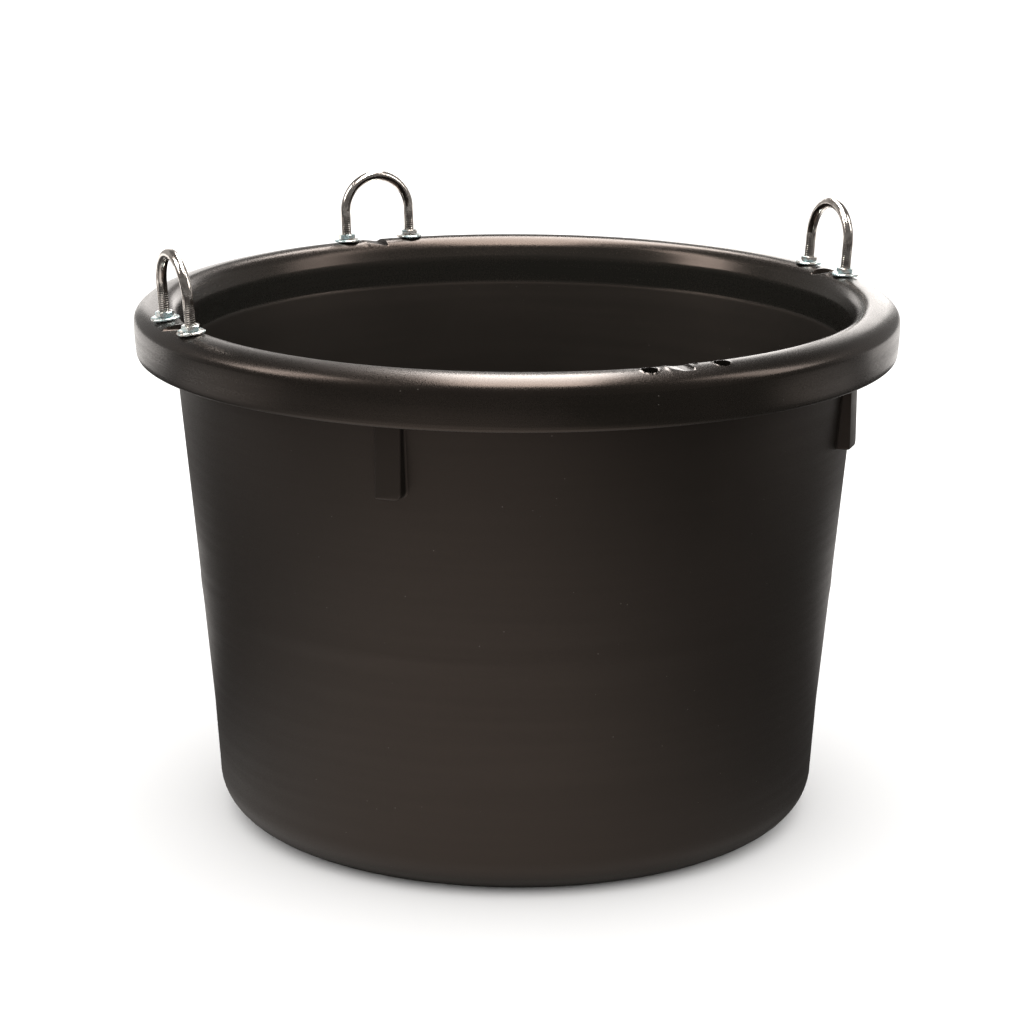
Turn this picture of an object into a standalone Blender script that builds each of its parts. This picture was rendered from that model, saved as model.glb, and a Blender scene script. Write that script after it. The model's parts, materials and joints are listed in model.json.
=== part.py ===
"""Feed bucket: a moulded black tub with a rolled rim, and three steel U-bolts bolted through the rim.

Metres, +Z up. The origin is the middle of the base, on the surface that the tub stands on.
Four stations sit on the rim at +X, +Y, -X and -Y. Each has two holes with a scooped notch between them.
A U-bolt is fitted at +X, +Y and -X. The holes at -Y are empty.
"""

import math

import bmesh
import bpy
from mathutils import Matrix, Vector

MM = 0.001

# The tub's outer shape
RIM_RADIUS = 228.6 * MM  # 18 in across the rolled rim
CREST_RADIUS = 212.2 * MM
CREST_HEIGHT = 314.4 * MM
WIDEST_HEIGHT = 304.5 * MM  # where the shoulder turns down into the skirt
SKIRT_RADIUS = 227.4 * MM  # outside the skirt's lower edge
SKIRT_BOTTOM = 284.3 * MM
NECK_RADIUS = 204.6 * MM  # outside the wall, just under the rim
KNEE_RADIUS = 185.4 * MM  # where the taper eases
KNEE_HEIGHT = 69.5 * MM
FOOT_RADIUS = 182.5 * MM  # where the bottom corner starts
CORNER_RADIUS = 25.0 * MM

# The tub's thicknesses and inner lip
WALL = 5.0 * MM
FLOOR = 5.5 * MM
SKIRT_WALL = 4.0 * MM
COLLAR_RADIUS = 200.2 * MM  # the upright band inside the mouth
COLLAR_TOP = 302.0 * MM
COLLAR_BOTTOM = 285.4 * MM
LIP_ROLL = 10.5 * MM  # radius of the rim's inner shoulder
CHANNEL_ROOF = 306.4 * MM  # the flat seat for the lower washers
CHANNEL_FILLET = 0.8 * MM
SKIRT_STEPS = 3
TURN_STEPS = 72

# Stacking lugs under the rim, between the stations
LUG_ANGLES = (45, 135, 225, 315)
LUG_WIDTH = 15.5 * MM
LUG_RADIUS = 208.6 * MM
LUG_BOTTOM = 239.0 * MM
LUG_ROOT = 2.5 * MM  # how deep a lug runs into the wall
LUG_EDGE = 1.2 * MM

# U-bolts of quarter inch rod, inch and a half inside
ROD = 6.35 * MM
U_INSIDE = 38.1 * MM
U_RISE = 44.7 * MM  # from the seat to the top of the loop
U_TAIL = 20.5 * MM  # from the seat down to the end of a leg
U_ARC_STEPS = 14
U_LEAN = 4.5  # degrees outwards, because the crest falls away under the washers
BOLT_LINE = 214.4 * MM  # from the tub's axis to the line through a station's two holes
HOLE = 9.6 * MM
FITTED = {"right": 0, "back": 90, "left": 180}  # degrees round the rim
EMPTY_ANGLE = 270

# Washers and nuts
WASHER_OD = 16.0 * MM
WASHER_THICK = 1.3 * MM
NUT_FLATS = 10.0 * MM
UPPER_NUT_HEIGHT = 2.9 * MM  # a thin nut
LOWER_NUT_HEIGHT = 5.2 * MM
BORE = ROD + 0.6 * MM
GAP = 0.3 * MM  # between pieces that touch
UPPER_SEAT = 0.21 * MM  # above the crest, where the leaning washer would touch it
LOWER_SEAT = -9.2 * MM  # below the upper seat, where the lower washer would touch the channel's roof
ROUND_STEPS = 18

# The notch across the crest at a station: its floor slopes down to a steep end, or to a flat at the empty station
NOTCH_START = -10.9 * MM  # along the rim from the station's middle
NOTCH_END = 3.1 * MM
NOTCH_DEPTH = 3.0 * MM
NOTCH_ROUND = 1.1 * MM
EMPTY_FOOT = -3.4 * MM
EMPTY_DEPTH = 1.4 * MM
PIN_HOLE = 3.0 * MM
PIN_OFFSET = 7.3 * MM
STEEP_SIDE = {0: 1, 90: -1, 180: -1, 270: 1}  # which way round each notch's steep end lies

# Worked out from the sizes above
LEG_OFFSET = (U_INSIDE + ROD) / 2
NECK_TAPER = (NECK_RADIUS - KNEE_RADIUS) / (SKIRT_BOTTOM - KNEE_HEIGHT)


def clear_scene():
    for obj in list(bpy.data.objects):
        bpy.data.objects.remove(obj, do_unlink=True)


def new_collection(name):
    made = bpy.data.collections.new(name)
    bpy.context.scene.collection.children.link(made)
    return made


def material(name, colour, roughness, metallic):
    made = bpy.data.materials.new(name)
    made.use_nodes = True
    shader = made.node_tree.nodes["Principled BSDF"]
    shader.inputs["Base Color"].default_value = (*colour, 1.0)
    shader.inputs["Roughness"].default_value = roughness
    shader.inputs["Metallic"].default_value = metallic
    return made


def mesh_object(name, mesh, collection, finish=None):
    obj = bpy.data.objects.new(name, mesh)
    collection.objects.link(obj)
    if finish:
        mesh.materials.append(finish)
    return obj


def applied(obj):
    """The object with its modifiers made part of its mesh."""
    graph = bpy.context.evaluated_depsgraph_get()
    mesh = bpy.data.meshes.new_from_object(obj.evaluated_get(graph))
    obj.modifiers.clear()
    obj.data = mesh
    return obj


def turned(name, profile, steps, collection, closed=False):
    """A profile in the XZ plane turned round Z. Its outer side runs from top to bottom."""
    mesh = bpy.data.meshes.new(name)
    edges = [(i, i + 1) for i in range(len(profile) - 1)]
    if closed:
        edges.append((len(profile) - 1, 0))
    mesh.from_pydata([(r, 0.0, z) for r, z in profile], edges, [])
    obj = mesh_object(name, mesh, collection)
    screw = obj.modifiers.new("Turn", "SCREW")
    screw.steps = steps
    screw.render_steps = steps
    screw.use_merge_vertices = True
    screw.merge_threshold = 0.00001
    return applied(obj)


def arc(centre, size, start, end, steps):
    """Points on an elliptical arc, angles in degrees from +X towards +Z."""
    angles = [math.radians(start + (end - start) * i / steps) for i in range(steps + 1)]
    return [(centre[0] + size[0] * math.cos(a), centre[1] + size[1] * math.sin(a)) for a in angles]


def wall_radius(height):
    """Outside of the upper wall at a height."""
    return KNEE_RADIUS + NECK_TAPER * (height - KNEE_HEIGHT)


def skirt_radius(height):
    """Outside of the skirt, which curves in a little towards its lower edge."""
    share = (WIDEST_HEIGHT - height) / (WIDEST_HEIGHT - SKIRT_BOTTOM)
    return RIM_RADIUS - (RIM_RADIUS - SKIRT_RADIUS) * share**2


def lip_points():
    """The rim's inner shoulder, from the top of the collar to the crest."""
    slope = math.radians(45)
    drop = CREST_HEIGHT - COLLAR_TOP
    reach = CREST_RADIUS - COLLAR_RADIUS
    for _ in range(20):
        run = reach - LIP_ROLL * math.sin(slope)
        slope = math.atan2(drop - LIP_ROLL * (1 - math.cos(slope)), run)
    centre = (CREST_RADIUS, CREST_HEIGHT - LIP_ROLL)
    return arc(centre, (LIP_ROLL, LIP_ROLL), 90 + math.degrees(slope), 90, 4)


def tub_profile():
    inner_corner = CORNER_RADIUS - WALL
    inner_foot = FOOT_RADIUS - WALL
    edge = SKIRT_WALL / 2
    edge_height = SKIRT_BOTTOM + edge
    edge_radius = skirt_radius(edge_height) - edge
    skirt_fall = (WIDEST_HEIGHT - edge_height) / SKIRT_STEPS
    skirt_heights = [WIDEST_HEIGHT - skirt_fall * i for i in range(1, SKIRT_STEPS)]
    roll = (RIM_RADIUS - CREST_RADIUS, CREST_HEIGHT - WIDEST_HEIGHT)
    fillet = (CHANNEL_FILLET, CHANNEL_FILLET)
    roof_outer = RIM_RADIUS - SKIRT_WALL - CHANNEL_FILLET
    roof_inner = NECK_RADIUS + CHANNEL_FILLET
    points = [(0.0, FLOOR)]
    points += arc((inner_foot - inner_corner, FLOOR + inner_corner), (inner_corner, inner_corner), -90, 0, 5)
    points.append((KNEE_RADIUS - WALL, KNEE_HEIGHT))
    points.append((wall_radius(COLLAR_BOTTOM) - WALL, COLLAR_BOTTOM))
    points.append((COLLAR_RADIUS, COLLAR_BOTTOM + 0.4 * MM))
    points.append((COLLAR_RADIUS, COLLAR_TOP))
    points += lip_points()
    points += arc((CREST_RADIUS, WIDEST_HEIGHT), roll, 90, 0, 7)[1:]
    points += [(skirt_radius(height), height) for height in skirt_heights]
    points += arc((edge_radius, edge_height), (edge, edge), 0, -180, 3)
    points += [(skirt_radius(height) - SKIRT_WALL, height) for height in reversed(skirt_heights)]
    points += arc((roof_outer, CHANNEL_ROOF - CHANNEL_FILLET), fillet, 0, 90, 1)
    points += arc((roof_inner, CHANNEL_ROOF - CHANNEL_FILLET), fillet, 90, 180, 1)
    points.append((NECK_RADIUS, SKIRT_BOTTOM))
    points.append((KNEE_RADIUS, KNEE_HEIGHT))
    points += arc((FOOT_RADIUS - CORNER_RADIUS, CORNER_RADIUS), (CORNER_RADIUS, CORNER_RADIUS), 0, -90, 6)
    points.append((0.0, 0.0))
    return points


def station(degrees, along=0.0, out=BOLT_LINE):
    """A place at a station: along the rim from its middle, at a distance out."""
    return Matrix.Rotation(math.radians(degrees), 4, "Z") @ Vector((out, along, 0.0))


def seat(degrees, along=0.0):
    """The frame of a station's hardware: its Z runs up the leaning rod, from the washers' seat."""
    turn = Matrix.Rotation(math.radians(degrees), 4, "Z")
    move = Matrix.Translation((BOLT_LINE, along, CREST_HEIGHT + UPPER_SEAT))
    lean = Matrix.Rotation(math.radians(U_LEAN), 4, "Y")
    return turn @ move @ lean


def cut(target, cutter, operation="DIFFERENCE"):
    modifier = target.modifiers.new(cutter.name, "BOOLEAN")
    modifier.operation = operation
    modifier.solver = "EXACT"
    modifier.object = cutter


def helper(obj):
    obj.hide_render = True
    obj.display_type = "WIRE"
    return obj


def lug(degrees, collection):
    """One stacking lug: an upright block whose root follows the sloping wall."""
    top = CHANNEL_ROOF + LUG_EDGE
    shape = bmesh.new()
    bmesh.ops.create_cube(shape, size=1.0)
    for vertex in shape.verts:
        is_top = vertex.co.z > 0
        vertex.co.z = top if is_top else LUG_BOTTOM
        vertex.co.y *= LUG_WIDTH
        root = NECK_RADIUS if is_top else wall_radius(LUG_BOTTOM)
        vertex.co.x = LUG_RADIUS if vertex.co.x > 0 else root - LUG_ROOT
    outer = [e for e in shape.edges if all(v.co.x > LUG_RADIUS - MM for v in e.verts)]
    bmesh.ops.bevel(shape, geom=outer, offset=LUG_EDGE, segments=2, affect="EDGES", profile=0.5)
    bmesh.ops.rotate(shape, verts=shape.verts, cent=(0, 0, 0), matrix=Matrix.Rotation(math.radians(degrees), 3, "Z"))
    mesh = bpy.data.meshes.new(f"lug_{degrees}")
    shape.to_mesh(mesh)
    shape.free()
    return helper(mesh_object(mesh.name, mesh, collection))


def drill(name, place, diameter, bottom, top, steps, collection):
    shape = bmesh.new()
    bmesh.ops.create_cone(
        shape, cap_ends=True, segments=steps, radius1=diameter / 2, radius2=diameter / 2, depth=top - bottom
    )
    bmesh.ops.translate(shape, verts=shape.verts, vec=(place.x, place.y, (top + bottom) / 2))
    mesh = bpy.data.meshes.new(name)
    shape.to_mesh(mesh)
    shape.free()
    return helper(mesh_object(name, mesh, collection))


def notch(degrees, collection):
    """A cutter laid across the crest, its outline drawn along the rim and swept outwards."""
    side = STEEP_SIDE[degrees]
    high = 4 * MM  # how far the cutter rises above the crest
    floor_end = NOTCH_END - NOTCH_ROUND
    is_empty = degrees == EMPTY_ANGLE
    foot = EMPTY_FOOT if is_empty else floor_end
    depth = EMPTY_DEPTH if is_empty else NOTCH_DEPTH
    slope = (foot - NOTCH_START) / depth
    outline = [(NOTCH_START - high * slope, high)]
    if is_empty:
        outline.append((foot, -depth))
    outline += arc((floor_end, NOTCH_ROUND - depth), (NOTCH_ROUND, NOTCH_ROUND), -90, 0, 3)
    outline.append((NOTCH_END, high))
    reach = 20 * MM
    shape = bmesh.new()
    corners = [shape.verts.new((CREST_RADIUS - reach, side * y, CREST_HEIGHT + z)) for y, z in outline]
    face = shape.faces.new(corners)
    swept = bmesh.ops.extrude_face_region(shape, geom=[face])
    moved = [v for v in swept["geom"] if isinstance(v, bmesh.types.BMVert)]
    bmesh.ops.translate(shape, verts=moved, vec=(2 * reach, 0, 0))
    bmesh.ops.recalc_face_normals(shape, faces=shape.faces)
    bmesh.ops.rotate(shape, verts=shape.verts, cent=(0, 0, 0), matrix=Matrix.Rotation(math.radians(degrees), 3, "Z"))
    mesh = bpy.data.meshes.new(f"notch_{degrees}")
    shape.to_mesh(mesh)
    shape.free()
    return helper(mesh_object(mesh.name, mesh, collection))


def tub(parts, cutters, finish):
    body = turned("tub", tub_profile(), TURN_STEPS, parts)
    body.data.materials.append(finish)
    for degrees in LUG_ANGLES:
        cut(body, lug(degrees, cutters), "UNION")
    bottom = CHANNEL_ROOF - MM
    top = CREST_HEIGHT + MM
    for degrees in [*FITTED.values(), EMPTY_ANGLE]:
        for side in (-1, 1):
            name = f"hole_{degrees}_{side}"
            cut(body, drill(name, station(degrees, side * LEG_OFFSET), HOLE, bottom, top, ROUND_STEPS, cutters))
        cut(body, notch(degrees, cutters))
        place = station(degrees, STEEP_SIDE[degrees] * PIN_OFFSET, CREST_RADIUS)
        cut(body, drill(f"pin_{degrees}", place, PIN_HOLE, bottom, top, 12, cutters))
    body.data.shade_smooth()
    body.data.set_sharp_from_angle(angle=math.radians(30))


def u_bolt(label, degrees, parts, finish):
    """Quarter inch rod bent to a U, its two legs side by side along the rim."""
    centre = U_RISE - ROD / 2 - LEG_OFFSET
    points = [(LEG_OFFSET, -U_TAIL)]
    points += arc((0.0, centre), (LEG_OFFSET, LEG_OFFSET), 0, 180, U_ARC_STEPS)
    points.append((-LEG_OFFSET, -U_TAIL))
    curve = bpy.data.curves.new(f"u_bolt_{label}", "CURVE")
    curve.dimensions = "3D"
    curve.bevel_depth = ROD / 2
    curve.bevel_resolution = 4
    curve.use_fill_caps = True
    spline = curve.splines.new("POLY")
    spline.points.add(len(points) - 1)
    for point, (along, z) in zip(spline.points, points):
        point.co = (0.0, along, z, 1.0)
    curve.materials.append(finish)
    obj = bpy.data.objects.new(f"u_bolt_{label}", curve)
    obj.matrix_world = seat(degrees)
    parts.objects.link(obj)


def washer_mesh(collection, finish):
    outer = WASHER_OD / 2
    inner = BORE / 2
    profile = [(outer, WASHER_THICK), (outer, 0.0), (inner, 0.0), (inner, WASHER_THICK)]
    obj = turned("washer", profile, ROUND_STEPS, collection, closed=True)
    mesh = obj.data
    bpy.data.objects.remove(obj)
    mesh.materials.append(finish)
    mesh.shade_smooth()
    mesh.set_sharp_from_angle(angle=math.radians(30))
    return mesh


def nut_mesh(name, height, collection, finish):
    """A hexagon trimmed by a turned blank, so that its corners are chamfered, then bored."""
    across_corners = NUT_FLATS / math.cos(math.radians(30))
    shape = bmesh.new()
    radius = across_corners / 2
    bmesh.ops.create_cone(shape, cap_ends=True, segments=6, radius1=radius, radius2=radius, depth=height)
    bmesh.ops.translate(shape, verts=shape.verts, vec=(0, 0, height / 2))
    mesh = bpy.data.meshes.new(name)
    shape.to_mesh(mesh)
    shape.free()
    hexagon = mesh_object(name, mesh, collection)
    face = NUT_FLATS / 2 - 0.2 * MM
    fall = (radius - face) * math.tan(math.radians(30))
    wide = radius + MM
    side = fall * (wide - face) / (radius - face)
    blank = [
        (0.0, height),
        (face, height),
        (wide, height - side),
        (wide, side),
        (face, 0.0),
        (0.0, 0.0),
    ]
    trimmer = helper(turned(f"{name}_blank", blank, ROUND_STEPS, collection))
    bore = drill(f"{name}_bore", Vector((0, 0, 0)), BORE, -MM, height + MM, ROUND_STEPS, collection)
    cut(hexagon, trimmer, "INTERSECT")
    cut(hexagon, bore)
    bpy.context.view_layer.update()
    applied(hexagon)
    mesh = hexagon.data
    for obj in (hexagon, trimmer, bore):
        bpy.data.objects.remove(obj)
    mesh.materials.clear()
    mesh.materials.append(finish)
    mesh.shade_smooth()
    mesh.set_sharp_from_angle(angle=math.radians(25))
    return mesh


def fasteners(parts, cutters, finish):
    washer = washer_mesh(cutters, finish)
    thin_nut = nut_mesh("thin_nut", UPPER_NUT_HEIGHT, cutters, finish)
    full_nut = nut_mesh("full_nut", LOWER_NUT_HEIGHT, cutters, finish)
    lower_washer = LOWER_SEAT - WASHER_THICK
    stack = (
        ("upper_washer", washer, 0.0),
        ("upper_nut", thin_nut, WASHER_THICK + GAP),
        ("lower_washer", washer, lower_washer),
        ("lower_nut", full_nut, lower_washer - GAP - LOWER_NUT_HEIGHT),
    )
    for label, degrees in FITTED.items():
        for number, side in ((1, -1), (2, 1)):
            spin = Matrix.Rotation(math.radians(15 * number), 4, "Z")
            for kind, mesh, height in stack:
                obj = bpy.data.objects.new(f"{kind}_{label}_{number}", mesh)
                obj.matrix_world = seat(degrees, side * LEG_OFFSET) @ Matrix.Translation((0, 0, height)) @ spin
                parts.objects.link(obj)


def main():
    clear_scene()
    parts = new_collection("feed_bucket")
    cutters = new_collection("cutters")
    plastic = material("black_plastic", (0.012, 0.011, 0.010), 0.38, 0.0)
    zinc = material("bright_zinc", (0.78, 0.80, 0.80), 0.16, 1.0)
    tub(parts, cutters, plastic)
    for label, degrees in FITTED.items():
        u_bolt(label, degrees, parts, zinc)
    fasteners(parts, cutters, zinc)


main()
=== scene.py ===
"""Looks of the feed bucket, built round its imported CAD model. Metres, +Z up, in the part's own frame."""

import json
import math

import bmesh
import bpy
from mathutils import Euler, Matrix, Vector, noise

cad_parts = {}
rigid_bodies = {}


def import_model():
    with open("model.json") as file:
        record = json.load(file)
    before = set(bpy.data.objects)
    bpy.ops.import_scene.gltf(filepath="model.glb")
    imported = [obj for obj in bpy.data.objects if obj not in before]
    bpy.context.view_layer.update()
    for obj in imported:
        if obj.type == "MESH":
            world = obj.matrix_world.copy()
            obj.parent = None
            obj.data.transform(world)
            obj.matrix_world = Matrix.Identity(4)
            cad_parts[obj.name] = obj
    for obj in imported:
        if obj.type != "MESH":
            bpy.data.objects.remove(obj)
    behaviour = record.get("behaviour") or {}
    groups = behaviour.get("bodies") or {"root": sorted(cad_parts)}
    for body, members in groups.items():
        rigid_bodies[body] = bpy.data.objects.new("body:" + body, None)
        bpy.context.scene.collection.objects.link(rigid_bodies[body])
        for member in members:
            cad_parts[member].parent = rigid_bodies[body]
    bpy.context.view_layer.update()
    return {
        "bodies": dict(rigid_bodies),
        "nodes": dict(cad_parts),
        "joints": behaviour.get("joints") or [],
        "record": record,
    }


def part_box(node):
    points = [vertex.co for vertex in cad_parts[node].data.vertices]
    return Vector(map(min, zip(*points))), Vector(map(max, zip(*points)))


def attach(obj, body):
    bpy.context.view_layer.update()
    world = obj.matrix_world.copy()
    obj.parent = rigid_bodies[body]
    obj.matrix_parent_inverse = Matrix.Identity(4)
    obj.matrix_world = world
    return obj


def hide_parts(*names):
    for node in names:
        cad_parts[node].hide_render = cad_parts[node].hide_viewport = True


MM = 0.001

# The tub, as the CAD model has it
CREST_RADIUS = 212.2 * MM
WIDEST_HEIGHT = 304.5 * MM
SKIRT_RADIUS = 227.4 * MM
SKIRT_BOTTOM = 284.3 * MM
NECK_RADIUS = 204.6 * MM
KNEE_RADIUS = 185.4 * MM
KNEE_HEIGHT = 69.5 * MM
FOOT_RADIUS = 182.5 * MM
CORNER_RADIUS = 25.0 * MM
WALL = 5.0 * MM
FLOOR = 5.5 * MM
SKIRT_WALL = 4.0 * MM
COLLAR_RADIUS = 200.2 * MM
COLLAR_TOP = 302.0 * MM
COLLAR_BOTTOM = 285.4 * MM
LIP_ROLL = 10.5 * MM
CHANNEL_ROOF = 306.4 * MM
CHANNEL_FILLET = 0.8 * MM
LUG_ANGLES = (45, 135, 225, 315)
LUG_BOTTOM = 239.0 * MM
BOLT_LINE = 214.4 * MM
HOLE = 9.6 * MM
PIN_HOLE = 3.0 * MM
PIN_OFFSET = 7.3 * MM
STEEP_SIDE = {0: 1, 90: -1, 180: -1, 270: 1}
FITTED = {"right": 0, "back": 90, "left": 180}
EMPTY_ANGLE = 270

# Finer shape that only shows close to
EDGE_BAND = 2.3 * MM  # the trimmed band along the skirt's lower edge
EDGE_LEDGE = 0.22 * MM
KNEE_BLEND = 14 * MM
RING_HEIGHT = 143 * MM  # a faint ring round the wall
RING_WIDTH = 5 * MM
RING_RISE = 0.3 * MM
BASE_RECESS = 0.8 * MM
BASE_RECESS_RADIUS = 140 * MM
WALL_WAVE = 0.18 * MM
RIM_WAVE = 0.12 * MM
FINE_TURN = 0.15  # degrees between the mesh's columns at a station
COARSE_TURN = 1.5
STATION_TURN = 7.8  # degrees each side of a station that have fine columns
BURR_HEIGHT = 0.35 * MM
BURR_WIDTH = 0.7 * MM
NOTCH_START = -10.9 * MM
NOTCH_END = 3.1 * MM
NOTCH_DEPTH = 3.0 * MM
NOTCH_ROUND = 1.1 * MM
EMPTY_FOOT = -3.4 * MM
EMPTY_DEPTH = 1.4 * MM
RIDGE_RISE = 0.45 * MM
RIDGE_WIDTH = 1.6 * MM
LUG_WIDTH = 15.5 * MM
LUG_RADIUS = 208.6 * MM
LUG_EDGE = 1.1 * MM
LUG_FILLET = 1.3 * MM
LUG_CORNER = 4.0 * MM
LUG_LAYERS = 40

# The plastic, as linear colours and roughness
PLASTIC_DARK = (0.0046, 0.0042, 0.0033, 1.0)
PLASTIC_LIGHT = (0.0056, 0.0049, 0.0040, 1.0)
PLASTIC_INSIDE_PAINTED_LIGHT = (0.0118, 0.0116, 0.0098, 1.0)  # painted light: a lighter colour inside, standing in for light the inside lacks
PLASTIC_DUST = (0.12, 0.11, 0.10, 1.0)
WALL_ROUGHNESS = 0.47
RIM_ROUGHNESS = 0.27

# Hardware
ROD = 6.35 * MM
U_RISE = 44.7 * MM
U_TAIL = 20.5 * MM
WASHER_OD = 16.6 * MM
WASHER_THICK = 1.3 * MM
WASHER_BEND = 0.35 * MM
NUT_FLATS = 10.0 * MM
NUT_FACE_EDGE = 0.2 * MM
NUT_SINK = 0.45 * MM
NUT_CORNER_TRIM = 0.25 * MM
NUT_TRIM_SLOPE = 32
UPPER_NUT_HEIGHT = 2.9 * MM
LOWER_NUT_HEIGHT = 5.2 * MM
NUT_TURN = 15  # degrees that each leg's nuts are turned by, times the leg's number
BORE = ROD + 0.6 * MM
THREAD_PITCH = 1.27 * MM
THREAD_DEPTH = 0.14 * MM
THREAD_TOP = 19 * MM  # above the seat
THREAD_FADE = 9 * MM
ROD_CHAMFER = 0.5 * MM
ROD_CHAMFER_LENGTH = 0.8 * MM
ROD_SIDES = 28
BEND_STEPS = 48

# Camera and studio
CAMERA_BEARING = 25.18  # degrees from -Y towards -X
CAMERA_DISTANCE = 1886.8 * MM
CAMERA_SIDE = -2.66 * MM
CAMERA_HEIGHT = 683.6 * MM
CAMERA_PITCH = 14.93
CAMERA_ROLL = 0.186
LENS = 112.5
FLOOR_HALF = 14.0
STRIP_HEIGHT = 1.0  # a long strip overhead, running away from the camera
STRIP_ROWS = ((-0.36, -0.16, 0.19), (0.85, -0.11, 0.14))  # depth, left side, right side
STRIP_GLOW = 18.0
BOX_SIDE = 1.2  # soft boxes at both sides
LEFT_DEPTHS = (-0.45, 0.03)
LEFT_HEIGHTS = (0.8, 2.0)
LEFT_GLOW = 11.0
RIGHT_DEPTHS = (-0.35, 0.10)
RIGHT_HEIGHTS = (0.7, 2.0)
RIGHT_GLOW = 6.0
BACKDROP_BEARINGS = (105, 255)
BACKDROP_RADIUS = 4.0
BACKDROP_HEIGHTS = (0.0, 2.6)
BACKDROP_GLOW = 0.45
REAR_BOXES = (((160, 176), (0.2, 1.8), 3.6), ((187, 200), (0.0, 1.5), 2.4))  # bearings, heights, glow
DOME_RADIUS = 12.0  # the room, dim
DOME_RISES = (0, 15, 30, 45, 60, 75, 89.9)
DOME_GLOW = 0.18
# The floor as reflections see it: middle and half sizes to the left and front, fade in half sizes, glow
FLOOR_PATCHES = (
    ((0.16, 0.44), (0.46, 0.40), (0.3, 1.45), 1.40),
    ((0.0, -0.45), (0.50, 0.30), (0.6, 1.2), 1.9),
    ((1.15, 0.05), (0.36, 0.50), (0.5, 1.2), 1.3),
    ((-1.2, -0.05), (0.36, 0.45), (0.5, 1.2), 0.9),
    ((0.0, 0.0), (0.60, 0.60), (0.5, 1.2), 0.06),
)
SURROUND_GLOW = 0.08
CONTACT_SHADOW = (0.165, 0.192)  # radii over which the painted shadow under the tub ends
REAR_FLOOR = (1.15, 4.0)  # the lit floor behind, seen in the rods
REAR_GLOW = 1.6
ALL_ROUND = range(0, 361, 10)  # bearings
BEHIND = range(120, 241, 10)
APRON_REACH = 9.0
WORLD_GLOW = 1.7


# ---------------------------------------------------------------- materials


class Shade:
    """A node tree being wired up, with the object's own coordinates in metres."""

    def __init__(self, name):
        self.material = bpy.data.materials.new(name)
        self.material.use_nodes = True
        self.tree = self.material.node_tree
        self.shader = self.tree.nodes["Principled BSDF"]
        self.place = self.add("ShaderNodeTexCoord").outputs["Object"]

    def add(self, kind, **settings):
        made = self.tree.nodes.new(kind)
        for key, value in settings.items():
            setattr(made, key, value)
        return made

    def link(self, source, target):
        if isinstance(source, bpy.types.NodeSocket):
            self.tree.links.new(source, target)
        else:
            target.default_value = source

    def stretched(self, scale):
        mapping = self.add("ShaderNodeMapping")
        self.link(self.place, mapping.inputs["Vector"])
        mapping.inputs["Scale"].default_value = scale
        return mapping.outputs["Vector"]

    def noise(self, scale, detail=2.0, roughness=0.5, vector=None):
        made = self.add("ShaderNodeTexNoise")
        self.link(vector or self.place, made.inputs["Vector"])
        made.inputs["Scale"].default_value = scale
        made.inputs["Detail"].default_value = detail
        made.inputs["Roughness"].default_value = roughness
        return made.outputs["Fac"]

    def cells(self, scale):
        made = self.add("ShaderNodeTexVoronoi")
        self.link(self.place, made.inputs["Vector"])
        made.inputs["Scale"].default_value = scale
        return made

    def between(self, value, low, high, to_low=0.0, to_high=1.0, smooth=True):
        made = self.add("ShaderNodeMapRange")
        made.interpolation_type = "SMOOTHSTEP" if smooth else "LINEAR"
        self.link(value, made.inputs["Value"])
        self.link(low, made.inputs["From Min"])
        self.link(high, made.inputs["From Max"])
        self.link(to_low, made.inputs["To Min"])
        self.link(to_high, made.inputs["To Max"])
        return made.outputs["Result"]

    def maths(self, operation, first, second=0.0):
        made = self.add("ShaderNodeMath", operation=operation)
        self.link(first, made.inputs[0])
        self.link(second, made.inputs[1])
        return made.outputs[0]

    def mixed(self, share, first, second):
        made = self.add("ShaderNodeMix", data_type="RGBA")
        self.link(share, made.inputs["Factor"])
        self.link(first, made.inputs["A"])
        self.link(second, made.inputs["B"])
        return made.outputs["Result"]

    def distance(self, vector):
        """How far a place is from the origin."""
        made = self.add("ShaderNodeVectorMath", operation="LENGTH")
        self.link(vector, made.inputs[0])
        return made.outputs["Value"]

    def height(self):
        split = self.add("ShaderNodeSeparateXYZ")
        self.link(self.place, split.inputs[0])
        return split.outputs["Z"]

    def bump(self, height, distance, strength=1.0, normal=None):
        made = self.add("ShaderNodeBump")
        self.link(height, made.inputs["Height"])
        made.inputs["Distance"].default_value = distance
        made.inputs["Strength"].default_value = strength
        if normal:
            self.link(normal, made.inputs["Normal"])
        return made.outputs["Normal"]


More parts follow.
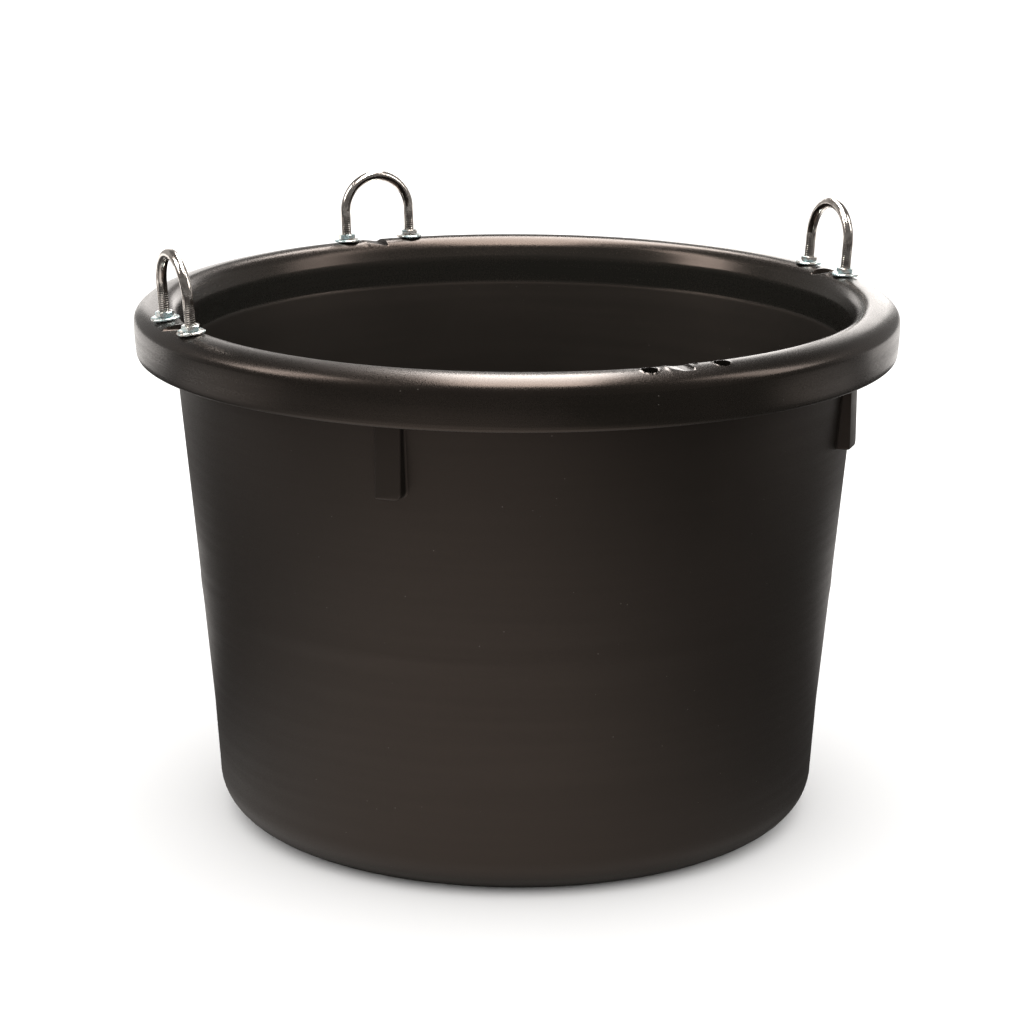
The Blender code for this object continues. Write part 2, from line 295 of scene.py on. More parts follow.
def black_plastic():
    """Moulded polyethylene: satin on the wall, smoother on the rim, with grain, flow marks and dust, and
    painted light: a lighter colour inside.
    """
    shade = Shade("black_polyethylene")
    height = shade.height()
    on_rim = shade.between(height, SKIRT_BOTTOM + 0.2 * MM, SKIRT_BOTTOM + 1.2 * MM)
    cloud = shade.noise(9.0, detail=3.0)
    grain = shade.noise(1400.0, detail=2.0, roughness=0.6)
    flow = shade.noise(1.0, detail=3.0, vector=shade.stretched((7.0, 7.0, 160.0)))
    drawn = shade.noise(1.0, detail=2.0, vector=shade.stretched((60.0, 60.0, 2600.0)))

    plan = shade.stretched((1.0, 1.0, 0.0))
    taper = (NECK_RADIUS - KNEE_RADIUS) / (SKIRT_BOTTOM - KNEE_HEIGHT)
    wall = shade.maths("ADD", shade.maths("MULTIPLY", height, taper), KNEE_RADIUS - taper * KNEE_HEIGHT)
    # The inside of the wall, where painted light is laid on as a lighter colour.
    inside = shade.between(shade.maths("SUBTRACT", shade.distance(plan), wall), -0.005, -0.001, 1.0, 0.0)

    specks = shade.cells(260.0)
    dust = shade.between(specks.outputs["Distance"], 0.05, 0.10, 1.0, 0.0)
    chosen = shade.add("ShaderNodeSeparateColor")
    shade.link(specks.outputs["Color"], chosen.inputs[0])
    rare = shade.between(chosen.outputs["Red"], 0.93, 0.95)
    dust = shade.maths("MULTIPLY", dust, rare)

    ground = shade.mixed(shade.between(cloud, 0.35, 0.65), PLASTIC_DARK, PLASTIC_LIGHT)
    # Painted light: the inside is made lighter than the outside to stand in for light.
    ground = shade.mixed(inside, ground, PLASTIC_INSIDE_PAINTED_LIGHT)
    dusty = shade.mixed(shade.maths("MULTIPLY", dust, 0.5), ground, PLASTIC_DUST)
    shade.link(dusty, shade.shader.inputs["Base Color"])

    satin = shade.between(on_rim, 0.0, 1.0, WALL_ROUGHNESS, RIM_ROUGHNESS, smooth=False)
    cloudy = shade.between(cloud, 0.3, 0.7, -0.035, 0.035)
    streaky = shade.between(flow, 0.35, 0.65, -0.02, 0.02)
    grainy = shade.between(grain, 0.3, 0.7, -0.05, 0.05)
    rough = shade.maths("ADD", satin, cloudy)
    rough = shade.maths("ADD", rough, streaky)
    rough = shade.maths("ADD", rough, grainy)
    shade.link(rough, shade.shader.inputs["Roughness"])

    normal = shade.bump(cloud, 0.0012, 0.35)
    normal = shade.bump(flow, 0.00012, 0.5, normal)
    normal = shade.bump(drawn, 0.00002, 0.35, normal)
    normal = shade.bump(grain, 0.00003, 0.5, normal)
    normal = shade.bump(dust, 0.0001, 0.6, normal)
    shade.link(normal, shade.shader.inputs["Normal"])
    shade.shader.inputs["IOR"].default_value = 1.5
    shade.shader.inputs["Specular IOR Level"].default_value = 0.36
    shade.shader.inputs["Specular Tint"].default_value = (1.0, 0.79, 0.68, 1.0)
    return shade.material


def bright_zinc(name, tint, roughness, metallic):
    """Bright plating: clear reflections, with small dents, clouding and a trace of colour."""
    shade = Shade(name)
    cloud = shade.noise(160.0, detail=3.0)
    fine = shade.noise(1500.0, detail=3.0, roughness=0.6)
    drawn = shade.noise(1.0, detail=2.0, vector=shade.stretched((900.0, 900.0, 120.0)))
    colours = shade.mixed(shade.between(cloud, 0.40, 0.6), (0.66, 0.62, 0.58, 1.0), tint)
    pitted = shade.between(fine, 0.62, 0.72)
    colours = shade.mixed(shade.maths("MULTIPLY", pitted, 0.35), colours, (0.30, 0.28, 0.26, 1.0))
    shade.link(colours, shade.shader.inputs["Base Color"])
    shade.shader.inputs["Metallic"].default_value = metallic
    uneven = shade.between(cloud, 0.3, 0.7, roughness - 0.05, roughness + 0.07)
    shade.link(uneven, shade.shader.inputs["Roughness"])
    normal = shade.bump(cloud, 0.0005, 0.4)
    normal = shade.bump(drawn, 0.00015, 0.6, normal)
    normal = shade.bump(fine, 0.00004, 0.6, normal)
    shade.link(normal, shade.shader.inputs["Normal"])
    return shade.material


def pale_floor():
    shade = Shade("studio_floor")
    cloud = shade.between(shade.noise(3.0), 0.3, 0.7)
    pale = shade.mixed(cloud, (0.86, 0.855, 0.85, 1.0), (0.88, 0.875, 0.87, 1.0))
    shade.link(pale, shade.shader.inputs["Base Color"])
    shade.shader.inputs["Roughness"].default_value = 0.9
    shade.shader.inputs["Specular IOR Level"].default_value = 0.0
    return shade.material


# ---------------------------------------------------------------- mesh helpers


def new_object(name, mesh):
    obj = bpy.data.objects.new(name, mesh)
    bpy.context.scene.collection.objects.link(obj)
    return obj


def applied(obj):
    graph = bpy.context.evaluated_depsgraph_get()
    mesh = bpy.data.meshes.new_from_object(obj.evaluated_get(graph))
    obj.modifiers.clear()
    obj.data = mesh
    return obj


def lofted(name, rings, closed=False):
    """A skin over rings with the same number of points. Its ends are capped, or joined if closed."""
    count = len(rings[0])
    points = [point for ring in rings for point in ring]
    faces = []
    last = len(rings) if closed else len(rings) - 1
    for i in range(last):
        lower = i * count
        upper = (i + 1) % len(rings) * count
        for j in range(count):
            k = (j + 1) % count
            faces.append((lower + j, lower + k, upper + k, upper + j))
    if not closed:
        faces.append(tuple(reversed(range(count))))
        faces.append(tuple(range(last * count, (last + 1) * count)))
    mesh = bpy.data.meshes.new(name)
    mesh.from_pydata(points, [], faces)
    shape = bmesh.new()
    shape.from_mesh(mesh)
    bmesh.ops.recalc_face_normals(shape, faces=shape.faces)
    shape.to_mesh(mesh)
    shape.free()
    return mesh


def smoothed(obj, degrees):
    obj.data.shade_smooth()
    obj.data.set_sharp_from_angle(angle=math.radians(degrees))


def boolean(target, cutter, operation):
    modifier = target.modifiers.new(cutter.name, "BOOLEAN")
    modifier.operation = operation
    modifier.solver = "EXACT"
    modifier.object = cutter
    applied(target)
    bpy.data.objects.remove(cutter)


def arc(centre, size, start, end, steps):
    """Points on an elliptical arc, angles in degrees from +X towards +Z."""
    angles = [math.radians(start + (end - start) * i / steps) for i in range(steps + 1)]
    return [(centre[0] + size[0] * math.cos(a), centre[1] + size[1] * math.sin(a)) for a in angles]


def ramp(start, end, steps):
    """Points on a straight line, without its first."""
    shares = [i / steps for i in range(1, steps + 1)]
    return [(start[0] + (end[0] - start[0]) * s, start[1] + (end[1] - start[1]) * s) for s in shares]


def soft_step(value, low, high):
    share = min(1.0, max(0.0, (value - low) / (high - low)))
    return share * share * (3 - 2 * share)


def hump(value, centre, width):
    return math.exp(-(((value - centre) / width) ** 2))


# ---------------------------------------------------------------- tub


class Tub:
    """The tub's fine mesh: one profile carried round the axis, changed at the stations."""

    def __init__(self):
        low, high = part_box("tub")
        self.rim_radius = (high.x - low.x) / 2
        self.crest = high.z
        self.leg_offset = self.measured_leg_offset()
        self.taper = (NECK_RADIUS - KNEE_RADIUS) / (SKIRT_BOTTOM - KNEE_HEIGHT)

    @staticmethod
    def measured_leg_offset():
        first = middle("upper_washer_right_1")
        second = middle("upper_washer_right_2")
        return (second - first).length / 2

    def wall_radius(self, height):
        """Outside of the wall at a height, with the taper easing softly at the knee."""
        upper = KNEE_RADIUS + self.taper * (height - KNEE_HEIGHT)
        spread = (KNEE_RADIUS - FOOT_RADIUS) * (height - CORNER_RADIUS)
        lower = FOOT_RADIUS + spread / (KNEE_HEIGHT - CORNER_RADIUS)
        share = soft_step(height, KNEE_HEIGHT - KNEE_BLEND, KNEE_HEIGHT + KNEE_BLEND)
        ring = RING_RISE * hump(height, RING_HEIGHT, RING_WIDTH)
        return lower + (upper - lower) * share + ring

    def lip(self):
        """The rim's inner shoulder, from the top of the collar to the crest."""
        slope = math.radians(45)
        drop = self.crest - COLLAR_TOP
        reach = CREST_RADIUS - COLLAR_RADIUS
        for _ in range(20):
            run = reach - LIP_ROLL * math.sin(slope)
            slope = math.atan2(drop - LIP_ROLL * (1 - math.cos(slope)), run)
        centre = (CREST_RADIUS, self.crest - LIP_ROLL)
        shoulder = arc(centre, (LIP_ROLL, LIP_ROLL), 90 + math.degrees(slope), 90, 14)
        return ramp((COLLAR_RADIUS, COLLAR_TOP), shoulder[0], 5)[:-1] + shoulder

    def skirt_radius(self, height):
        share = (WIDEST_HEIGHT - height) / (WIDEST_HEIGHT - SKIRT_BOTTOM)
        return self.rim_radius - (self.rim_radius - SKIRT_RADIUS) * share**2

    def skirt(self):
        """From the shoulder down to the ledge over the trimmed edge."""
        fall = WIDEST_HEIGHT - SKIRT_BOTTOM - EDGE_BAND
        heights = [WIDEST_HEIGHT - fall * i / 10 for i in range(1, 11)]
        return [(self.skirt_radius(height), height) for height in heights]

    def profile(self):
        """(radius, height, whether on the rim's top surface), from the middle of the floor to the base."""
        inside = [(0.0, FLOOR)]
        inner_corner = CORNER_RADIUS - WALL
        inner_foot = FOOT_RADIUS - WALL
        inside += ramp((0.0, FLOOR), (inner_foot - inner_corner, FLOOR), 6)
        centre = (inner_foot - inner_corner, FLOOR + inner_corner)
        inside += arc(centre, (inner_corner, inner_corner), -90, 0, 10)[1:]
        climb = COLLAR_BOTTOM - 2 * MM - CORNER_RADIUS - FLOOR
        for i in range(1, 31):
            height = FLOOR + CORNER_RADIUS + climb * i / 30
            inside.append((self.wall_radius(height) - WALL, height))
        inside.append((self.wall_radius(COLLAR_BOTTOM) - WALL, COLLAR_BOTTOM - 0.6 * MM))
        inside.append((COLLAR_RADIUS - 0.1 * MM, COLLAR_BOTTOM + 0.2 * MM))
        inside.append((COLLAR_RADIUS, COLLAR_BOTTOM + 1.0 * MM))
        inside += ramp((COLLAR_RADIUS, COLLAR_BOTTOM + 1.0 * MM), (COLLAR_RADIUS, COLLAR_TOP), 5)

        roll = (self.rim_radius - CREST_RADIUS, self.crest - WIDEST_HEIGHT)
        top = self.lip() + arc((CREST_RADIUS, WIDEST_HEIGHT), roll, 90, 0, 40)[1:]

        outside = self.skirt()
        edge = EDGE_BAND
        ledge = SKIRT_RADIUS + EDGE_LEDGE
        bottom = SKIRT_BOTTOM
        outside.append((ledge, bottom + edge - 0.15 * MM))
        outside.append((ledge, bottom + edge * 0.72))
        outside.append((SKIRT_RADIUS + 0.04 * MM, bottom + edge * 0.60))
        outside.append((SKIRT_RADIUS, bottom + edge * 0.50))
        outside.append((SKIRT_RADIUS - 0.25 * MM, bottom + edge * 0.26))
        outside.append((SKIRT_RADIUS - 0.8 * MM, bottom + edge * 0.06))
        outside.append((SKIRT_RADIUS - SKIRT_WALL / 2, bottom))
        outside.append((SKIRT_RADIUS - SKIRT_WALL + 0.7 * MM, bottom + 0.1 * MM))
        outside.append((SKIRT_RADIUS - SKIRT_WALL, bottom + 1.0 * MM))
        outside.append((self.rim_radius - SKIRT_WALL, WIDEST_HEIGHT))
        fillet = (CHANNEL_FILLET, CHANNEL_FILLET)
        roof = CHANNEL_ROOF - CHANNEL_FILLET
        outside += arc((self.rim_radius - SKIRT_WALL - CHANNEL_FILLET, roof), fillet, 0, 90, 3)
        outside += arc((NECK_RADIUS + CHANNEL_FILLET, roof), fillet, 90, 180, 3)
        outside.append((NECK_RADIUS, SKIRT_BOTTOM + 8 * MM))
        fall = SKIRT_BOTTOM - CORNER_RADIUS
        for i in range(61):
            height = SKIRT_BOTTOM - fall * i / 60
            outside.append((self.wall_radius(height), height))
        centre = (FOOT_RADIUS - CORNER_RADIUS, CORNER_RADIUS)
        outside += arc(centre, (CORNER_RADIUS, CORNER_RADIUS), 0, -90, 14)[1:]
        outside.append((BASE_RECESS_RADIUS + 6 * MM, 0.0))
        outside.append((BASE_RECESS_RADIUS, BASE_RECESS))
        outside.append((0.0, BASE_RECESS))
        return [(r, z, 0) for r, z in inside] + [(r, z, 1) for r, z in top] + [(r, z, 0) for r, z in outside]

    @staticmethod
    def columns():
        """Angles round the axis in degrees, close together at the stations."""
        angles = []
        fine = round(2 * STATION_TURN / FINE_TURN)
        gap = 90 - 2 * STATION_TURN
        coarse = round(gap / COARSE_TURN)
        for station in (0, 90, 180, 270):
            angles += [station - STATION_TURN + FINE_TURN * i for i in range(fine)]
            angles += [station + STATION_TURN + gap * i / coarse for i in range(coarse)]
        return angles

    @staticmethod
    def notch_drop(along, station):
        """How far the notch's floor lies below the crest, or nothing outside it."""
        if along < NOTCH_START or along > NOTCH_END:
            return None
        is_empty = station == EMPTY_ANGLE
        floor_end = NOTCH_END - NOTCH_ROUND
        foot = EMPTY_FOOT if is_empty else floor_end
        depth = EMPTY_DEPTH if is_empty else NOTCH_DEPTH
        drop = depth * min(1.0, (along - NOTCH_START) / (foot - NOTCH_START))
        over = max(0.0, along - floor_end)
        return drop - NOTCH_ROUND + math.sqrt(max(0.0, NOTCH_ROUND**2 - over**2))

    def top_height(self, degrees, radius, height):
        """The rim's top surface at a station: notch, ridge, and burrs round the holes."""
        station = round(degrees / 90) * 90 % 360
        turn = math.radians((degrees - station + 180) % 360 - 180)
        along = radius * math.sin(turn)
        out = radius * math.cos(turn)
        side = STEEP_SIDE[station]
        drop = self.notch_drop(along * side, station)
        if drop is not None:
            height = min(height, self.crest - drop)
        near_crest = hump(out, CREST_RADIUS, 6 * MM)
        height += RIDGE_RISE * hump(along * side, NOTCH_START - 0.3 * MM, RIDGE_WIDTH) * near_crest
        for leg in (-1, 1):
            away = math.hypot(out - BOLT_LINE, along - leg * self.leg_offset)
            uneven = 0.5 + noise.noise(Vector((away * 200, degrees * 3, station)))
            height += BURR_HEIGHT * uneven * hump(away, HOLE / 2 + 0.2 * MM, BURR_WIDTH)
        return height

    def point(self, degrees, radius, height, on_top):
        turn = math.radians(degrees)
        place = Vector((radius * math.cos(turn), radius * math.sin(turn), height))
        if on_top and abs(degrees - round(degrees / 90) * 90) < STATION_TURN:
            place.z = self.top_height(degrees, radius, height)
        wave = RIM_WAVE if height > SKIRT_BOTTOM else WALL_WAVE
        grow = wave * noise.noise(Vector((place.x * 16, place.y * 16, place.z * 9)))
        if radius > 0.02:
            place.x += grow * math.cos(turn)
            place.y += grow * math.sin(turn)
        return place

    def body(self):
        profile = self.profile()
        rings = []
        inner = profile[1:-1]
        for degrees in self.columns():
            rings.append([self.point(degrees, *step) for step in inner])
        count = len(inner)
        points = [point for ring in rings for point in ring]
        faces = []
        for i in range(len(rings)):
            lower = i * count
            upper = (i + 1) % len(rings) * count
            for j in range(count - 1):
                faces.append((lower + j, upper + j, upper + j + 1, lower + j + 1))
        floor_centre = len(points)
        points.append(Vector((0, 0, profile[0][1])))
        base_centre = len(points)
        points.append(Vector((0, 0, profile[-1][1])))
        for i in range(len(rings)):
            lower = i * count
            upper = (i + 1) % len(rings) * count
            faces.append((floor_centre, upper, lower))
            faces.append((base_centre, lower + count - 1, upper + count - 1))
        mesh = bpy.data.meshes.new("tub_shell")
        mesh.from_pydata(points, [], faces)
        shape = bmesh.new()
        shape.from_mesh(mesh)
        bmesh.ops.recalc_face_normals(shape, faces=shape.faces)
        shape.to_mesh(mesh)
        shape.free()
        return new_object("tub_shell", mesh)

    def holes(self):
        """All the drilled holes as one cutter."""
        shape = bmesh.new()
        places = []
        for station in (0, 90, 180, 270):
            places += [(station, BOLT_LINE, leg * self.leg_offset, HOLE) for leg in (-1, 1)]
            places.append((station, CREST_RADIUS, STEEP_SIDE[station] * PIN_OFFSET, PIN_HOLE))
        for station, out, along, diameter in places:
            made = bmesh.ops.create_cone(
                shape, cap_ends=True, segments=48, radius1=diameter / 2, radius2=diameter / 2, depth=14 * MM
            )
            centre = Matrix.Rotation(math.radians(station), 4, "Z") @ Vector((out, along, 0))
            centre.z = CHANNEL_ROOF + 5 * MM
            bmesh.ops.translate(shape, verts=made["verts"], vec=centre)
        mesh = bpy.data.meshes.new("holes")
        shape.to_mesh(mesh)
        shape.free()
        return new_object("holes", mesh)

    def lug_section(self, height):
        """A lug's outline at a height, its foot spread into the wall by fillets."""
        lift = height - LUG_BOTTOM
        pull = LUG_EDGE - math.sqrt(max(0.0, LUG_EDGE**2 - max(0.0, LUG_EDGE - lift) ** 2))
        corner = LUG_CORNER - math.sqrt(max(0.0, LUG_CORNER**2 - max(0.0, LUG_CORNER - lift) ** 2))
        face = LUG_RADIUS - pull
        wall = self.wall_radius(min(height, SKIRT_BOTTOM))
        left = -LUG_WIDTH / 2 + pull
        right = LUG_WIDTH / 2 - max(pull, corner)
        root = wall - 1.5 * MM
        spread = LUG_FILLET
        edge = LUG_EDGE
        foot = wall + spread
        first = left - spread
        final = right + spread
        section = [(root, first)]
        section += [(foot - spread * math.cos(a), first + spread * math.sin(a)) for a in quarter(4)]
        section += [(face - edge + edge * math.sin(a), left + edge - edge * math.cos(a)) for a in quarter(4)]
        section += [(face - edge + edge * math.cos(a), right - edge + edge * math.sin(a)) for a in quarter(4)]
        section += [(foot - spread * math.sin(a), final - spread * math.cos(a)) for a in quarter(4)]
        section.append((root, final))
        return [Vector((out, along, height)) for out, along in section]

    def lug(self, degrees):
        layers = [LUG_BOTTOM + LUG_CORNER * (1 - math.cos(a)) for a in quarter(10)]
        top = CHANNEL_ROOF + 1 * MM
        layers += [layers[-1] + (top - layers[-1]) * i / LUG_LAYERS for i in range(1, LUG_LAYERS + 1)]
        turn = Matrix.Rotation(math.radians(degrees), 4, "Z")
        rings = [[turn @ point for point in self.lug_section(height)] for height in layers]
        return new_object(f"lug_{degrees}", lofted(f"lug_{degrees}", rings))

    def build(self, finish):
        body = self.body()
        boolean(body, self.holes(), "DIFFERENCE")
        for degrees in LUG_ANGLES:
            boolean(body, self.lug(degrees), "UNION")
        body.data.materials.clear()
        body.data.materials.append(finish)
        smoothed(body, 34)
        return body


def quarter(steps):
    """Angles from 0 to a right angle."""
    return [math.pi / 2 * i / steps for i in range(steps + 1)]


# ---------------------------------------------------------------- hardware


def middle(node):
    low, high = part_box(node)
    return (low + high) / 2


def seat_frame(label):
    """The frame of a station's hardware, read off its washers: Z up the rod, Y from leg 1 to 2, seat at 0."""
    upper = [middle(f"upper_washer_{label}_{i}") for i in (1, 2)]
    lower = [middle(f"lower_washer_{label}_{i}") for i in (1, 2)]
    up = (upper[0] + upper[1] - lower[0] - lower[1]).normalized()
    along = (upper[1] - upper[0]).normalized()
    out = along.cross(up).normalized()
    origin = (upper[0] + upper[1]) / 2 - up * WASHER_THICK / 2
    frame = Matrix((out, along, up)).transposed().to_4x4()
    frame.translation = origin
    return frame, (upper[1] - upper[0]).length / 2


def thread_radius(turn, lift, share):
    """The rod's radius at an angle and a height: a rolled thread whose depth is given as a share."""
    phase = (lift / THREAD_PITCH - turn / (2 * math.pi)) % 1.0
    groove = 0.5 - 0.5 * math.cos(2 * math.pi * phase)
    return ROD / 2 - THREAD_DEPTH * share * groove**1.6


def u_bolt(label, finish):
    """A bent rod. Its legs are threaded up to just under the bend."""
    frame, offset = seat_frame(label)
    centre = U_RISE - ROD / 2 - offset
    step = THREAD_PITCH / 6
    path = []
    count = round((centre + U_TAIL) / step)
    heights = [-U_TAIL + (centre + U_TAIL) * i / count for i in range(count + 1)]
    up = Vector((0, 0, 1))
    for height in heights:
        path.append((Vector((0, offset, height)), up, height))
    for i in range(1, BEND_STEPS):
        angle = math.pi * i / BEND_STEPS
        place = Vector((0, offset * math.cos(angle), centre + offset * math.sin(angle)))
        path.append((place, Vector((0, -math.sin(angle), math.cos(angle))), None))
    for height in reversed(heights):
        path.append((Vector((0, -offset, height)), -up, height))
    rings = []
    for place, forward, height in path:
        side = forward.cross(Vector((1, 0, 0)))
        share = 0.0
        if height is not None:
            share = 1 - soft_step(height, THREAD_TOP - THREAD_FADE, THREAD_TOP)
            share *= soft_step(height, -U_TAIL, -U_TAIL + THREAD_PITCH)
        ring = []
        for j in range(ROD_SIDES):
            turn = 2 * math.pi * j / ROD_SIDES
            radius = thread_radius(turn, height or 0.0, share)
            if height is not None:
                end = soft_step(height, -U_TAIL - 0.01 * MM, -U_TAIL + ROD_CHAMFER_LENGTH)
                radius -= ROD_CHAMFER * (1 - end)
            across = Vector((1, 0, 0)) * radius * math.cos(turn)
            ring.append(frame @ (place + across + side * radius * math.sin(turn)))
        rings.append(ring)
    obj = new_object(f"threaded_u_bolt_{label}", lofted(f"threaded_u_bolt_{label}", rings))
    obj.data.materials.append(finish)
    smoothed(obj, 50)
    return obj


def washer(name, node, frame, finish, seed, bend):
    """A stamped washer: a rolled edge, a slightly lobed outline, and bent over the round crest."""
    rings = []
    inner = BORE / 2
    outer = WASHER_OD / 2
    edge = 0.3 * MM
    section = [(inner, edge), (inner + edge, 0.0), (outer - edge, 0.0)]
    section += [(outer - 0.08 * MM, edge * 0.4), (outer, WASHER_THICK / 2)]
    section += [(outer - 0.08 * MM, WASHER_THICK - edge), (outer - 0.45 * MM, WASHER_THICK)]
    section += [(inner + edge, WASHER_THICK), (inner, WASHER_THICK - edge)]
    for i in range(72):
        turn = 2 * math.pi * i / 72
        lobe = 1 + 0.012 * math.sin(3 * turn + seed) + 0.008 * math.sin(7 * turn + 2.1 * seed)
        ring = []
        for radius, lift in section:
            reach = radius * (lobe if radius > inner + edge else 1.0)
            fall = bend * (radius / outer) ** 2 * math.cos(turn) ** 2
            wave = 0.05 * MM * math.sin(4 * turn + seed) * (radius / outer)
            height = lift - fall + wave - WASHER_THICK / 2
            ring.append(Vector((reach * math.cos(turn), reach * math.sin(turn), height)))
        rings.append(ring)
    return fastener(name, node, frame, rings, finish)


def fastener(name, node, frame, rings, finish):
    place = frame.to_3x3().to_4x4()
    place.translation = middle(node)
    obj = new_object(name, lofted(name, [[place @ point for point in ring] for ring in rings], closed=True))
    obj.data.materials.append(finish)
    smoothed(obj, 40)
    return obj


def nut(name, node, frame, finish, height, spin):
    """A hexagon nut whose corners are trimmed by a cone, with a countersunk bore."""
    half = NUT_FLATS / 2
    corner = half / math.cos(math.radians(30))
    rings = []
    for i in range(96):
        turn = 2 * math.pi * i / 96
        swing = (turn + math.radians(30)) % math.radians(60) - math.radians(30)
        flat = half / math.cos(swing)
        flat = min(flat, corner - NUT_CORNER_TRIM)
        fall = max(0.0, flat - (half - 0.15 * MM)) * math.tan(math.radians(NUT_TRIM_SLOPE))
        inner = BORE / 2
        sink = NUT_SINK
        face = half - NUT_FACE_EDGE
        section = [(inner, sink), (inner + sink, 0.0), (face, 0.0), (flat, fall)]
        section += [(flat, height - fall), (face, height), (inner + sink, height), (inner, height - sink)]
        place = turn + spin
        ring = [Vector((r * math.cos(place), r * math.sin(place), z - height / 2)) for r, z in section]
        rings.append(ring)
    return fastener(name, node, frame, rings, finish)


def hardware(rod_plating, blue_plating):
    """Every U-bolt, washer and nut, each on the node that it stands for."""
    levels = (("upper", UPPER_NUT_HEIGHT, WASHER_BEND), ("lower", LOWER_NUT_HEIGHT, 0.0))
    made = []
    for label in FITTED:
        frame, _ = seat_frame(label)
        bolt = u_bolt(label, rod_plating)
        made.append((bolt, f"u_bolt_{label}"))
        for number in (1, 2):
            spin = math.radians(NUT_TURN * number)
            for level, height, bend in levels:
                tag = f"{label}_{number}"
                seed = number + 2.3 * len(made)
                node = f"{level}_washer_{tag}"
                ring = washer(f"{level}_stamped_washer_{tag}", node, frame, blue_plating, seed, bend)
                made.append((ring, node))
                node = f"{level}_nut_{tag}"
                hexagon = nut(f"{level}_hex_nut_{tag}", node, frame, blue_plating, height, spin)
                made.append((hexagon, node))
    for piece, node in made:
        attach(piece, "root")
        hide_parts(node)


# ---------------------------------------------------------------- studio


def camera():
    turn = math.radians(CAMERA_BEARING)
    data = bpy.data.cameras.new("photo_view")
    data.lens = LENS
    data.sensor_width = 36
    data.clip_end = 60
    obj = bpy.data.objects.new("photo_view", data)
    obj.location = (
        -CAMERA_DISTANCE * math.sin(turn) + CAMERA_SIDE * math.cos(turn),
        -CAMERA_DISTANCE * math.cos(turn) - CAMERA_SIDE * math.sin(turn),
        CAMERA_HEIGHT,
    )
    aim = Euler((math.radians(90 - CAMERA_PITCH), 0, -turn)).to_matrix()
    roll = Matrix.Rotation(math.radians(CAMERA_ROLL), 3, "Z")
    obj.rotation_euler = (aim @ roll).to_euler()
    bpy.context.scene.collection.objects.link(obj)
    bpy.context.scene.camera = obj


def from_camera(bearing, elevation, distance):
    """A place seen from the tub: bearing in degrees, 0 towards the camera and 90 to its right."""
    turn = math.radians(-90 - CAMERA_BEARING + bearing)
    rise = math.radians(elevation)
    flat = distance * math.cos(rise)
    return Vector((flat * math.cos(turn), flat * math.sin(turn), distance * math.sin(rise)))


def card_material(shade, strength):
    """Plain light for a card that only shows in reflections."""
    shade.shader.inputs["Base Color"].default_value = (0, 0, 0, 1)
    shade.shader.inputs["Specular IOR Level"].default_value = 0.0
    shade.shader.inputs["Emission Color"].default_value = (1.0, 0.965, 0.93, 1.0)
    shade.link(strength, shade.shader.inputs["Emission Strength"])
    return shade.material


def card(name, rows, finish):
    """A studio card that only reflections see, over rows of points. Its finish is a glow or a material."""
    count = len(rows[0])
    faces = []
    for i in range(len(rows) - 1):
        for j in range(count - 1):
            k = i * count + j
            faces.append((k, k + 1, k + count + 1, k + count))
    mesh = bpy.data.meshes.new(name)
    mesh.from_pydata([point for row in rows for point in row], [], faces)
    if isinstance(finish, float):
        finish = card_material(Shade(name), finish)
    mesh.materials.append(finish)
    obj = new_object(name, mesh)
    obj.visible_camera = False
    obj.visible_diffuse = False
    obj.visible_shadow = False


def ring_point(bearing, radius, height):
    place = from_camera(bearing, 0, radius)
    place.z = height
    return place


def upright_card(name, bearings, radius, heights, brightness):
    """Part of a cylinder round the tub."""
    steps = 12
    turns = [bearings[0] + (bearings[1] - bearings[0]) * i / steps for i in range(steps + 1)]
    card(name, [[ring_point(turn, radius, height) for turn in turns] for height in heights], brightness)


def side_box(name, side, depths, heights, brightness):
    """An upright card beside the tub, facing it. Depths run away from the camera."""
    right = from_camera(90, 0, 1)
    away = from_camera(180, 0, 1)
    rows = [[right * side + away * depth + Vector((0, 0, height)) for depth in depths] for height in heights]
    card(name, rows, brightness)


def lit_floor():
    """The floor as reflections see it: lit patches round the tub, a painted shadow under it, and dark far
    away.
    """
    shade = Shade("lit_floor")
    strength = SURROUND_GLOW
    for middle_place, halves, fade, glow_level in FLOOR_PATCHES:
        left, front = middle_place
        mapping = shade.add("ShaderNodeMapping", vector_type="TEXTURE")
        shade.link(shade.place, mapping.inputs["Vector"])
        mapping.inputs["Location"].default_value = from_camera(-90, 0, left) + from_camera(0, 0, front)
        mapping.inputs["Rotation"].default_value = (0, 0, math.radians(-CAMERA_BEARING))
        mapping.inputs["Scale"].default_value = (*halves, 1.0)
        away = shade.distance(mapping.outputs["Vector"])
        strength = shade.maths("ADD", shade.between(away, *fade, glow_level, 0.0), strength)
    # Painted shadow: the card goes dark under the tub, where the floor lies in shade.
    clear = shade.between(shade.distance(shade.place), *CONTACT_SHADOW)
    strength = shade.maths("MULTIPLY", strength, clear)
    card_material(shade, strength)
    rows = [[ring_point(turn, radius, 1 * MM) for turn in ALL_ROUND] for radius in (1 * MM, APRON_REACH)]
    card("lit_floor", rows, shade.material)


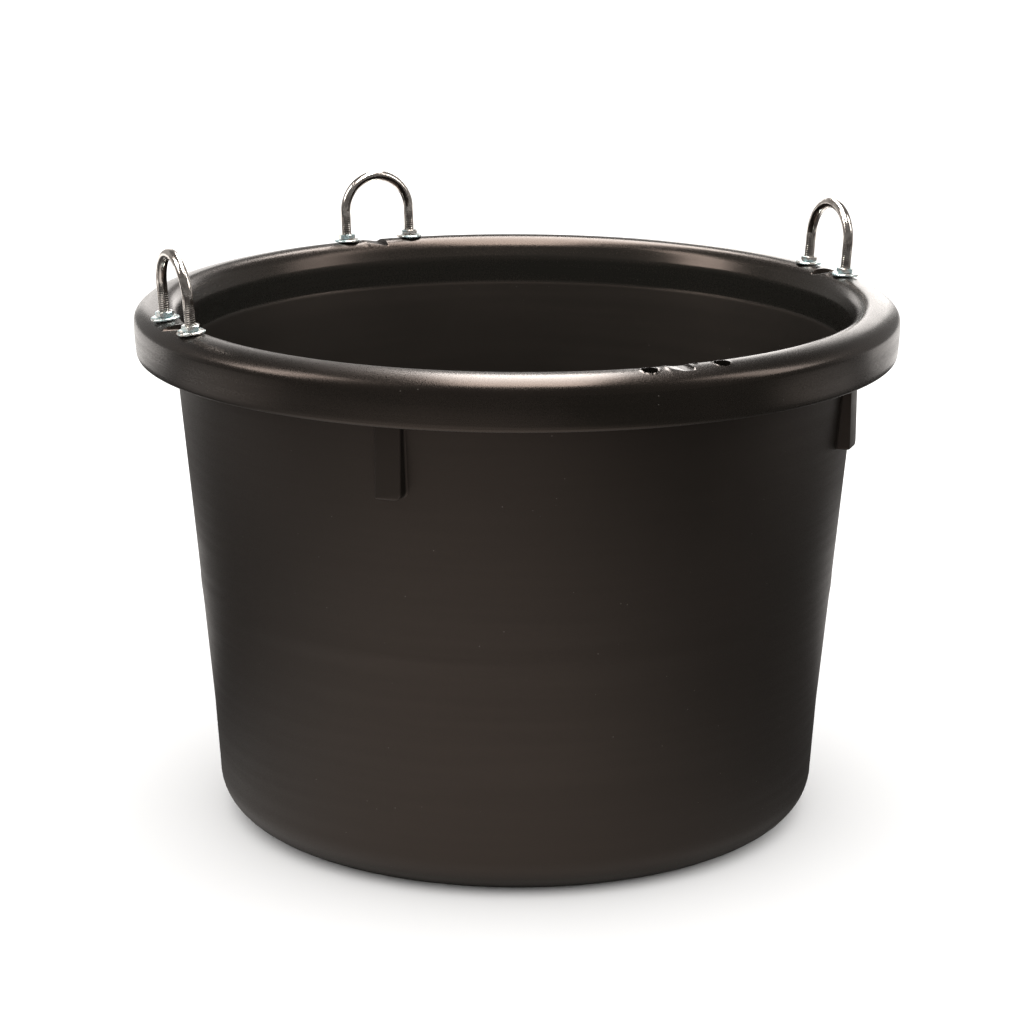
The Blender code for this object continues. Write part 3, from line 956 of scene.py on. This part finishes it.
def studio():
    world = bpy.data.worlds.new("studio")
    bpy.context.scene.world = world
    world.use_nodes = True
    world.node_tree.nodes["Background"].inputs["Color"].default_value = (1.0, 0.995, 0.99, 1.0)
    world.node_tree.nodes["Background"].inputs["Strength"].default_value = WORLD_GLOW
    world.cycles_visibility.glossy = False

    right = from_camera(90, 0, 1)
    away = from_camera(180, 0, 1)
    up = Vector((0, 0, STRIP_HEIGHT))
    strip = [[right * side + away * depth + up for side in sides] for depth, *sides in STRIP_ROWS]
    card("overhead_strip", strip, STRIP_GLOW)
    side_box("left_box", -BOX_SIDE, LEFT_DEPTHS, LEFT_HEIGHTS, LEFT_GLOW)
    side_box("right_box", BOX_SIDE, RIGHT_DEPTHS, RIGHT_HEIGHTS, RIGHT_GLOW)
    upright_card("backdrop", BACKDROP_BEARINGS, BACKDROP_RADIUS, BACKDROP_HEIGHTS, BACKDROP_GLOW)
    for bearings, heights, brightness in REAR_BOXES:
        upright_card("rear_box", bearings, BACKDROP_RADIUS - 0.1, heights, brightness)
    dome = [[from_camera(turn, rise, DOME_RADIUS) for turn in ALL_ROUND] for rise in DOME_RISES]
    card("room", dome, DOME_GLOW)
    behind = [[ring_point(turn, radius, 2 * MM) for turn in BEHIND] for radius in REAR_FLOOR]
    card("rear_floor", behind, REAR_GLOW)
    lit_floor()

    shape = bmesh.new()
    bmesh.ops.create_grid(shape, x_segments=8, y_segments=8, size=FLOOR_HALF)
    mesh = bpy.data.meshes.new("studio_floor")
    shape.to_mesh(mesh)
    shape.free()
    ground = new_object("studio_floor", mesh)
    ground.location.z = -0.2 * MM
    mesh.materials.append(pale_floor())
    bpy.context.scene.view_settings.view_transform = "Standard"


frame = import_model()
camera()
studio()
tub = Tub().build(black_plastic())
tub.name = "moulded_tub"
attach(tub, "root")
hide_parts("tub")
rod_zinc = bright_zinc("bright_zinc", tint=(0.42, 0.38, 0.35, 1.0), roughness=0.16, metallic=1.0)
blue_zinc = bright_zinc("blue_zinc", tint=(0.60, 0.76, 0.78, 1.0), roughness=0.22, metallic=0.8)
hardware(rod_zinc, blue_zinc)
